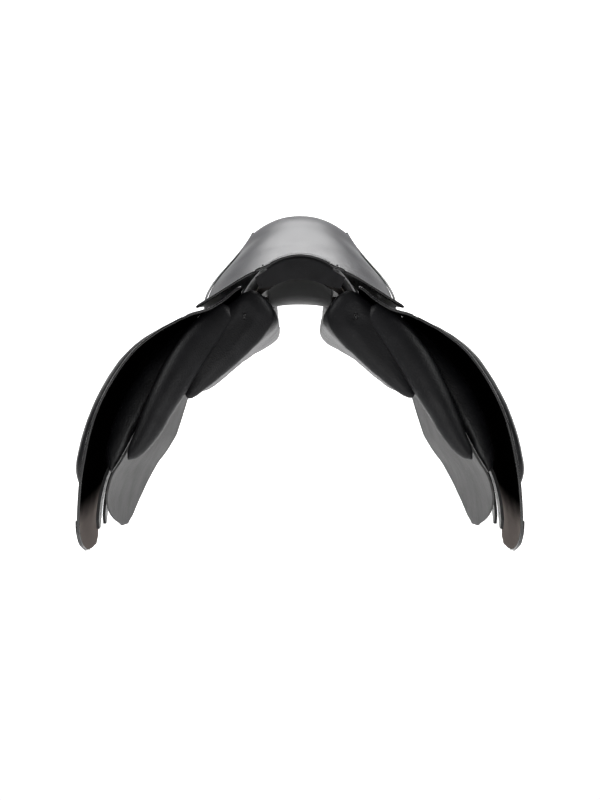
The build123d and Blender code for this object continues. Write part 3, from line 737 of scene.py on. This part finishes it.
def build_seat(materials):
    """Padded seat with rolled edges and its seams."""
    across = [math.sin(math.pi * (step / SEAT_COLUMNS - 0.5)) for step in range(SEAT_COLUMNS + 1)]
    half = SEAT_COLUMNS / 2
    across = [0.5 * share + 0.5 * (step / half - 1) for step, share in enumerate(across)]
    rings = []
    start, length = SEAT_BODY
    ys = [start + length * step / SEAT_ROWS for step in range(1, SEAT_ROWS + 1)]
    ys = SEAT_FRONT_ROWS + ys + SEAT_REAR_ROWS
    for index, y in enumerate(ys):
        from_end = min(index, len(ys) - 1 - index)
        tuck = (SEAT_TUCK_END, SEAT_TUCK_NEXT, 0.0)[min(from_end, 2)]
        narrowed = [share * (1 - tuck / SEAT_TUCK_WIDTH) for share in across]
        top = [seat_point(y, share, tuck) for share in narrowed]
        low = [seat_point(y, share, SEAT_DEPTH - tuck * 0.6) for share in reversed(narrowed)]
        roll = []
        for edge, under in ((top[-1], low[0]), (low[-1], top[0])):
            middle = [(a + b) / 2 for a, b in zip(edge, under)]
            outward = math.copysign(SEAT_EDGE_ROLL, middle[0])
            roll.append((middle[0] + outward, middle[1], middle[2] + 0.8))
        rings.append(top + [roll[0]] + low + [roll[1]])
    seat = loft("seat", rings)
    dress(seat, "seat_leather", materials)
    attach(seat, "saddle")
    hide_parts("seat_cover", "seat_foam")
    arc = [seat_point(SEAM_Y, share * 0.98) for share in across]
    seam = tube("seat_seam", moved(arc, (0, 0, -0.3)), SEAM_RADIUS)
    dress(seam, "welt_leather", materials)
    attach(seam, "saddle")
    for side, sign in BOTH_SIDES:
        line = even_line(POMMEL_BAND, 14)
        band = tube(f"pommel_piping_{side}", line, POMMEL_PIPING_RADIUS, sign)
        dress(band, "welt_leather", materials, "edge")
        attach(band, "saddle")


# ---- flaps -----------------------------------------------------------------------------
def side_grid(line, front_table, rear_table, rows, columns, drop_table=None):
    """Grid of points and normals over a side sheet, front to rear across each row."""
    profile = even_line(line, rows)
    grid, normals = [], []
    for row, (x, z) in enumerate(profile):
        normal_x, normal_z = line_normal(profile, row)
        front, rear = looked_up(front_table, z), looked_up(rear_table, z)
        fall = looked_up(drop_table, z) if drop_table else 0
        points = []
        for column in range(columns + 1):
            share = column / columns
            share = 0.5 - 0.5 * math.cos(math.pi * share)
            y = front + (rear - front) * share
            rear_share = min(max(y / 300, 0), 1)
            points.append((
                x + 16 * rear_share * min(fall / 40, 1.1),
                y,
                z - SIDE_FALL * y - fall * rear_share,
            ))
        grid.append(points)
        normals.append([(normal_x, 0, normal_z)] * (columns + 1))
    return grid, normals


def build_flaps(materials):
    """Outer flaps with piping, stitches and patch."""
    grid, normals = side_grid(
        FLAP_LINE, FLAP_FRONT_EDGE, FLAP_REAR_EDGE, FLAP_ROWS, FLAP_COLUMNS, FLAP_TOP_DROP
    )
    profile = even_line(FLAP_LINE, FLAP_ROWS)
    front_edge = [(row, points[0]) for row, points in enumerate(grid)]
    edge_rows = [row for row, point in front_edge if point[2] < FLAP_PIPING_TOP]
    head_rows = [row for row, point in front_edge if point[2] >= HEAD_PIPING_BOTTOM]
    for side, sign in BOTH_SIDES:
        flap = shell(f"leather_flap_{side}", grid, normals, FLAP_THICK, sign)
        dress(flap, "flap_leather", materials)
        flap.data.materials.append(materials["suede"])
        for face in flap.data.polygons:
            if face.normal.x * sign < -0.15 and face.normal.z < 0.35:
                face.material_index = 1
        root, child = "saddle", f"flap_body_{side}"
        low = [row for row in range(FLAP_ROWS) if profile[row][1] < PATCH_TOP]
        patch_grid = [grid[row][1:-1] for row in low]
        patch_normals = [normals[row][1:-1] for row in low]
        lifted = []
        for points, facing in zip(patch_grid, patch_normals):
            lifted.append([
                tuple(Vector(point) + Vector(normal) * PATCH_LIFT)
                for point, normal in zip(points, facing)
            ])
        patch = shell(f"leather_patch_{side}", lifted, patch_normals, PATCH_THICK, sign)
        dress(patch, "flap_leather", materials)
        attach(patch, child)
        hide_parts(f"flap_patch_{side}")
        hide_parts(f"flap_{side}", f"flap_head_{side}")
        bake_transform(flap)
        path = moved([grid[row][0] for row in edge_rows], PIPING_STEP)
        piping = tube(f"flap_piping_{side}", path, PIPING_RADIUS, sign)
        dress(piping, "flap_leather", materials, "edge")
        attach(piping, child)
        path = moved([grid[row][0] for row in head_rows], PIPING_STEP)
        top_piping = tube(f"head_piping_{side}", path, PIPING_RADIUS, sign)
        dress(top_piping, "flap_leather", materials, "edge")
        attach(top_piping, root)
        for number, inset in enumerate(FLAP_STITCH_COLUMNS):
            row_path = [grid[row][inset] for row in edge_rows]
            row_normals = [normals[row][inset] for row in edge_rows]
            row_stitch = stitches(f"flap_stitch_{number}_{side}", row_path, row_normals, sign)
            dress(row_stitch, "flap_leather", materials, "thread")
            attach(row_stitch, child)


def pad_grid(line, outline, rows, columns, height, base_lift, z_range):
    """Closed pad on a side sheet: outline gives front and rear y at each z."""
    profile = [point for point in even_line(line, 400) if z_range[1] <= point[1] <= z_range[0]]
    step = max(len(profile) // rows, 1)
    profile = profile[::step]
    rings = []
    count = len(profile)
    for row, (x, z) in enumerate(profile):
        normal_x, normal_z = line_normal(profile, row)
        share_down = row / (count - 1)
        end = min(share_down, 1 - share_down) * count / 7
        rounding = math.sqrt(max(1 - (1 - min(end, 1)) ** 2, 0.0025))
        front, rear, swell = (looked_up(column, z) for column in outline)
        middle, half = (front + rear) / 2, (rear - front) / 2 * (0.45 + 0.55 * rounding)
        ring = []
        for index in range(columns):
            turn = 2 * math.pi * index / columns
            across, out = -math.cos(turn), math.sin(turn)
            side_share = math.copysign(abs(across) ** 0.75, across)
            lift = base_lift + max(out, 0) ** 0.7 * swell * height * rounding
            y = middle + half * side_share
            ring.append((x + normal_x * lift, y, z + normal_z * lift - SIDE_FALL * y))
        rings.append(ring)
    return rings


def build_rolls(materials):
    """Outer knee rolls and the blocks on the sweat flaps."""
    for side, sign in BOTH_SIDES:
        rings = pad_grid(
            FLAP_LINE, KNEE_ROLL, 60, 40, KNEE_ROLL_HEIGHT, KNEE_ROLL_GAP, KNEE_ROLL_SPAN
        )
        roll = loft(f"outer_roll_{side}", rings, sign)
        wrinkled(roll, amount=0.5, size=26, seed=3 + sign)
        dress(roll, "roll_leather", materials)
        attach(roll, f"flap_body_{side}")
        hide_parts(f"knee_roll_{side}")
        rings = pad_grid(
            SWEAT_LINE, KNEE_BLOCK, 60, 32, KNEE_BLOCK_HEIGHT, BLOCK_GAP, KNEE_BLOCK_SPAN
        )
        made = loft(f"inner_block_{side}", rings, sign)
        wrinkled(made, amount=0.5, size=24, seed=7 + sign)
        dress(made, "roll_leather", materials)
        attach(made, "saddle")
        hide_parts(f"knee_block_{side}")
        rings = pad_grid(
            SWEAT_LINE, THIGH_BLOCK, 30, 28, THIGH_BLOCK_HEIGHT, BLOCK_GAP, THIGH_BLOCK_SPAN
        )
        rings = [[toed_in(point) for point in ring] for ring in rings]
        made = loft(f"rear_block_{side}", rings, sign)
        dress(made, "roll_leather", materials)
        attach(made, "saddle")
        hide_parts(f"thigh_block_{side}")


def toed_in(point):
    """Point drawn inward toward the rear, as the sweat flap hangs."""
    x, y, z = point
    low_share = min(max((TOE_IN_TOP - z) / TOE_IN_DROP, 0), 1)
    rear_share = (max(y, 0) / TOE_IN_LENGTH) ** TOE_IN_CURVE
    return (x - SWEAT_TOE_IN * low_share * rear_share, y, z)


def build_sweat_flaps(materials):
    """Flesh-side sweat flaps with a stitched border."""
    grid, normals = side_grid(
        SWEAT_LINE, SWEAT_FRONT_EDGE, SWEAT_REAR_EDGE, SWEAT_ROWS, SWEAT_COLUMNS
    )
    grid = [[toed_in(point) for point in row] for row in grid]
    for side, sign in BOTH_SIDES:
        flap = shell(f"sweat_leather_{side}", grid, normals, SWEAT_THICK, sign)
        wrinkled(flap, amount=0.25, size=40, seed=11)
        dress(flap, "sweat_leather", materials)
        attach(flap, "saddle")
        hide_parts(f"sweat_flap_{side}")
        path, facing = [], []
        for row in range(4, len(grid) - 2):
            x, y, z = grid[row][SWEAT_SEAM_COLUMN]
            nx, _, nz = normals[row][SWEAT_SEAM_COLUMN]
            path.append((x - nx * SWEAT_SEAM_DEPTH, y, z - nz * SWEAT_SEAM_DEPTH))
            facing.append((-nx, 0, -nz))
        seam = stitches(f"sweat_stitch_{side}", path, facing, sign)
        dress(seam, "sweat_leather", materials, "thread")
        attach(seam, "saddle")


def build_skirts(materials):
    """Skirts with a stitched lower edge."""
    top = even_line(SKIRT_FRONT, SKIRT_ROWS)
    low = even_line(SKIRT_REAR, SKIRT_ROWS)
    for side, sign in BOTH_SIDES:
        grid, normals = [], []
        for row in range(SKIRT_ROWS + 1):
            down = row / SKIRT_ROWS
            points, facing = [], []
            for column in range(SKIRT_COLUMNS + 1):
                back = column / SKIRT_COLUMNS
                trim = 1 - SKIRT_WAIST * math.sin(math.pi * back) * down - SKIRT_SHORTER
                place = down * trim * SKIRT_ROWS
                index = min(int(place), SKIRT_ROWS - 1)
                share = place - index
                front = [a + (b - a) * share for a, b in zip(top[index], top[index + 1])]
                rear = [a + (b - a) * share for a, b in zip(low[index], low[index + 1])]
                x = front[0] + (rear[0] - front[0]) * back
                z = front[1] + (rear[1] - front[1]) * back
                y = SKIRT_START + SKIRT_LENGTH * back - SKIRT_SWEEP * down * (1 - back) ** 4
                points.append((x, y, z))
                run = top[index + 1][0] - top[index][0]
                rise = top[index + 1][1] - top[index][1]
                size = math.hypot(run, rise)
                facing.append((-rise / size, 0, run / size))
            grid.append(points)
            normals.append(facing)
        skirt = shell(f"leather_skirt_{side}", grid, normals, SKIRT_THICK, sign)
        dress(skirt, "skirt_leather", materials)
        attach(skirt, f"skirt_body_{side}")
        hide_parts(f"skirt_{side}")
        front = moved([row[0] for row in grid[1:]], SKIRT_PIPING_STEP)
        piping = tube(f"skirt_piping_{side}", front, PIPING_RADIUS, sign)
        dress(piping, "skirt_leather", materials, "edge")
        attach(piping, f"skirt_body_{side}")
        seam_places = [(row, 1) for row in range(2, SKIRT_SEAM_ROW + 1)]
        seam_places += [(SKIRT_SEAM_ROW, column) for column in range(2, SKIRT_SEAM_END)]
        rim = [grid[row][column] for row, column in seam_places]
        facing = [normals[row][column] for row, column in seam_places]
        seam = stitches(f"skirt_stitch_{side}", rim, facing, sign)
        dress(seam, "skirt_leather", materials, "thread")
        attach(seam, f"skirt_body_{side}")


# ---- panels --------------------------------------------------------------------------
def panel_ring(y):
    """Smooth ring of the panel at one y."""
    stations = PANEL_STATIONS
    index = 0
    while index < len(stations) - 2 and stations[index + 1][0] < y:
        index += 1
    share = (y - stations[index][0]) / (stations[index + 1][0] - stations[index][0])
    around = [stations[min(max(index + k, 0), len(stations) - 1)][1] for k in (-1, 0, 1, 2)]
    corners = []
    for corner in range(8):
        corners.append(tuple(
            smooth_value(*(row[corner][axis] for row in around), share) for axis in (0, 1)
        ))
    return smooth_line(corners, PANEL_RING_POINTS, closed=True)


def toward_centre(ring, amount):
    """Ring drawn toward its own middle by a share."""
    middle_x = sum(x for x, _ in ring) / len(ring)
    middle_z = sum(z for _, z in ring) / len(ring)
    return [(x + (middle_x - x) * amount, z + (middle_z - z) * amount) for x, z in ring]


def build_panels(materials):
    """Stuffed panels with soft creases, and the narrow rolls at their front."""
    ys = [PANEL_START + PANEL_LENGTH * step / PANEL_ROWS for step in range(PANEL_ROWS + 1)]
    for side, sign in BOTH_SIDES:
        rings = []
        for y, amount in PANEL_FRONT_CAP:
            ring = panel_ring(max(y, PANEL_STATIONS[0][0]))
            rings.append([(x, y, z) for x, z in toward_centre(ring, amount)])
        for y in ys:
            rings.append([(x, y, z) for x, z in panel_ring(y)])
        for y, amount in PANEL_REAR_CAP:
            rings.append([(x, y, z) for x, z in toward_centre(panel_ring(y), amount)])
        panel = loft(f"stuffed_panel_{side}", rings, sign)
        wrinkled(panel, amount=1.5, size=60, seed=5 + 2 * sign, stretch=(1, 0.6, 1))
        wrinkled(panel, amount=0.45, size=14, seed=9 + sign, stretch=(1, 0.35, 1))
        dimpled(panel, sign)
        dress(panel, "panel_leather", materials)
        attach(panel, "saddle")
        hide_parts(f"panel_{side}", f"flocking_{side}")
        x, z = TIE_PLACE
        for number, lean in enumerate((-TIE_LEAN, TIE_LEAN)):
            path = [
                (x - lean, TIE_END_Y, z + TIE_HALF),
                (x, TIE_MIDDLE_Y, z),
                (x + lean, TIE_END_Y, z - TIE_HALF),
            ]
            knot = tube(f"panel_tie_{number}_{side}", path, TIE_RADIUS, sign)
            dress(knot, "panel_leather", materials, "edge")
            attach(knot, "saddle")
        build_front_roll(side, sign, materials)


def dimpled(panel, sign):
    """Push in the panel's front tip where the tie pulls it."""
    centre = Vector(to_row((sign * TIE_PLACE[0], PANEL_STATIONS[0][0], TIE_PLACE[1])))
    for vertex in panel.data.vertices:
        share = (vertex.co - centre).length * 1000 / TIE_REACH
        if share < 3:
            vertex.co.y += TIE_DEPTH / 1000 * math.exp(-share * share)
    panel.data.update()


def build_front_roll(side, sign, materials):
    """Tapering roll down the front edge."""
    rings = []
    line = smooth_line(FRONT_ROLL, FRONT_ROLL_STEPS)
    for index, (x, z, half_width, half_depth) in enumerate(line):
        before, after = line[max(index - 1, 0)], line[min(index + 1, len(line) - 1)]
        along = Vector((after[0] - before[0], 0, after[1] - before[1])).normalized()
        across = along.cross(Vector((0, 1, 0)))
        end = min(index, len(line) - 1 - index)
        size = min(1.0, FRONT_ROLL_TIP + FRONT_ROLL_GROWTH * end)
        ring = []
        down = min(2 * index / len(line), 1)
        y = FRONT_ROLL_Y[0] + (FRONT_ROLL_Y[1] - FRONT_ROLL_Y[0]) * down
        for step in range(FRONT_ROLL_SIDES):
            turn = 2 * math.pi * step / FRONT_ROLL_SIDES
            point = Vector((x, y, z)) + across * (half_width * size * math.cos(turn))
            point.y += half_depth * size * math.sin(turn)
            ring.append(tuple(point))
        rings.append(ring)
    roll = loft(f"stuffed_roll_{side}", rings, sign)
    wrinkled(roll, amount=0.5, size=16, seed=21 + sign, stretch=(0.6, 1, 0.6))
    dress(roll, "panel_leather", materials)
    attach(roll, "saddle")
    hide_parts(f"front_roll_{side}")


# ---- carried-over CAD pieces ----------------------------------------------------------------
def dress_frame(frame, materials):
    """Give every remaining CAD node the material of its record slot."""
    slots = {entry["node"]: entry["material_slot"] for entry in frame["record"]["subparts"]}
    for name, node in frame["nodes"].items():
        node.data.materials.clear()
        node.data.materials.append(materials[slots[name]])


# ---- stage, light and camera --------------------------------------------------------------------
def area_light(name, place, target, size, power):
    """Rectangular soft light aimed at a point (row metres)."""
    data = bpy.data.lights.new(name, "AREA")
    data.shape = "RECTANGLE"
    data.size, data.size_y = size
    data.energy = power
    lamp = bpy.data.objects.new(name, data)
    bpy.context.scene.collection.objects.link(lamp)
    lamp.location = place
    lamp.rotation_euler = (Vector(target) - Vector(place)).to_track_quat("-Z", "Y").to_euler()


def stage_plane(name, corners, glow):
    """Plain pale plane behind or below the saddle."""
    mesh = bpy.data.meshes.new(name)
    mesh.from_pydata(corners, [], [(0, 1, 2, 3)])
    plane = bpy.data.objects.new(name, mesh)
    bpy.context.scene.collection.objects.link(plane)
    pale, _, shader = node_material(name)
    shader.inputs["Base Color"].default_value = (0.9, 0.9, 0.9, 1)
    shader.inputs["Roughness"].default_value = 0.9
    shader.inputs["Emission Color"].default_value = (1, 1, 1, 1)
    shader.inputs["Emission Strength"].default_value = glow
    plane.data.materials.append(pale)


def build_stage():
    """Pale floor, white backdrop, soft lights and the camera."""
    low, high, back, reach = STAGE_FLOOR, STAGE_TOP, STAGE_BACK, STAGE_REACH
    stage_plane("floor", [
        (-reach, -reach, low), (reach, -reach, low), (reach, back, low), (-reach, back, low),
    ], 0.0)
    stage_plane("backdrop", [
        (-reach, back, low), (reach, back, low), (reach, back, high), (-reach, back, high),
    ], BACKDROP_GLOW)
    world = bpy.data.worlds.new("surround")
    world.use_nodes = True
    world.node_tree.nodes["Background"].inputs["Color"].default_value = (1, 1, 1, 1)
    world.node_tree.nodes["Background"].inputs["Strength"].default_value = WORLD_STRENGTH
    bpy.context.scene.world = world
    for light in LIGHTS:
        area_light(*light)
    data = bpy.data.cameras.new("camera")
    data.sensor_width = 36
    data.lens = CAMERA_LENS
    camera = bpy.data.objects.new("camera", data)
    bpy.context.scene.collection.objects.link(camera)
    camera.location = to_row(CAMERA_PLACE)
    aim = Vector(to_row(CAMERA_AIM))
    camera.rotation_euler = (aim - camera.location).to_track_quat("-Z", "Y").to_euler()
    bpy.context.scene.camera = camera
    bpy.context.scene.view_settings.view_transform = "Standard"


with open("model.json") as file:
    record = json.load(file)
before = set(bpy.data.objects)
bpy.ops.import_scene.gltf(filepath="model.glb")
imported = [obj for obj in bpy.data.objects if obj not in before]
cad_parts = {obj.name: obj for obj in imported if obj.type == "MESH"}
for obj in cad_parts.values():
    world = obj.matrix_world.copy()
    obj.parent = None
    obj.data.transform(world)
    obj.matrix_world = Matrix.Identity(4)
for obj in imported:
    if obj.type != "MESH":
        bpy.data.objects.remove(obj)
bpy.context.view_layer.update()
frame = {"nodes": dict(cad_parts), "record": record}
looks = make_materials()
dress_frame(frame, looks)
build_seat(looks)
build_panels(looks)
build_flaps(looks)
build_rolls(looks)
build_sweat_flaps(looks)
build_skirts(looks)
build_stage()
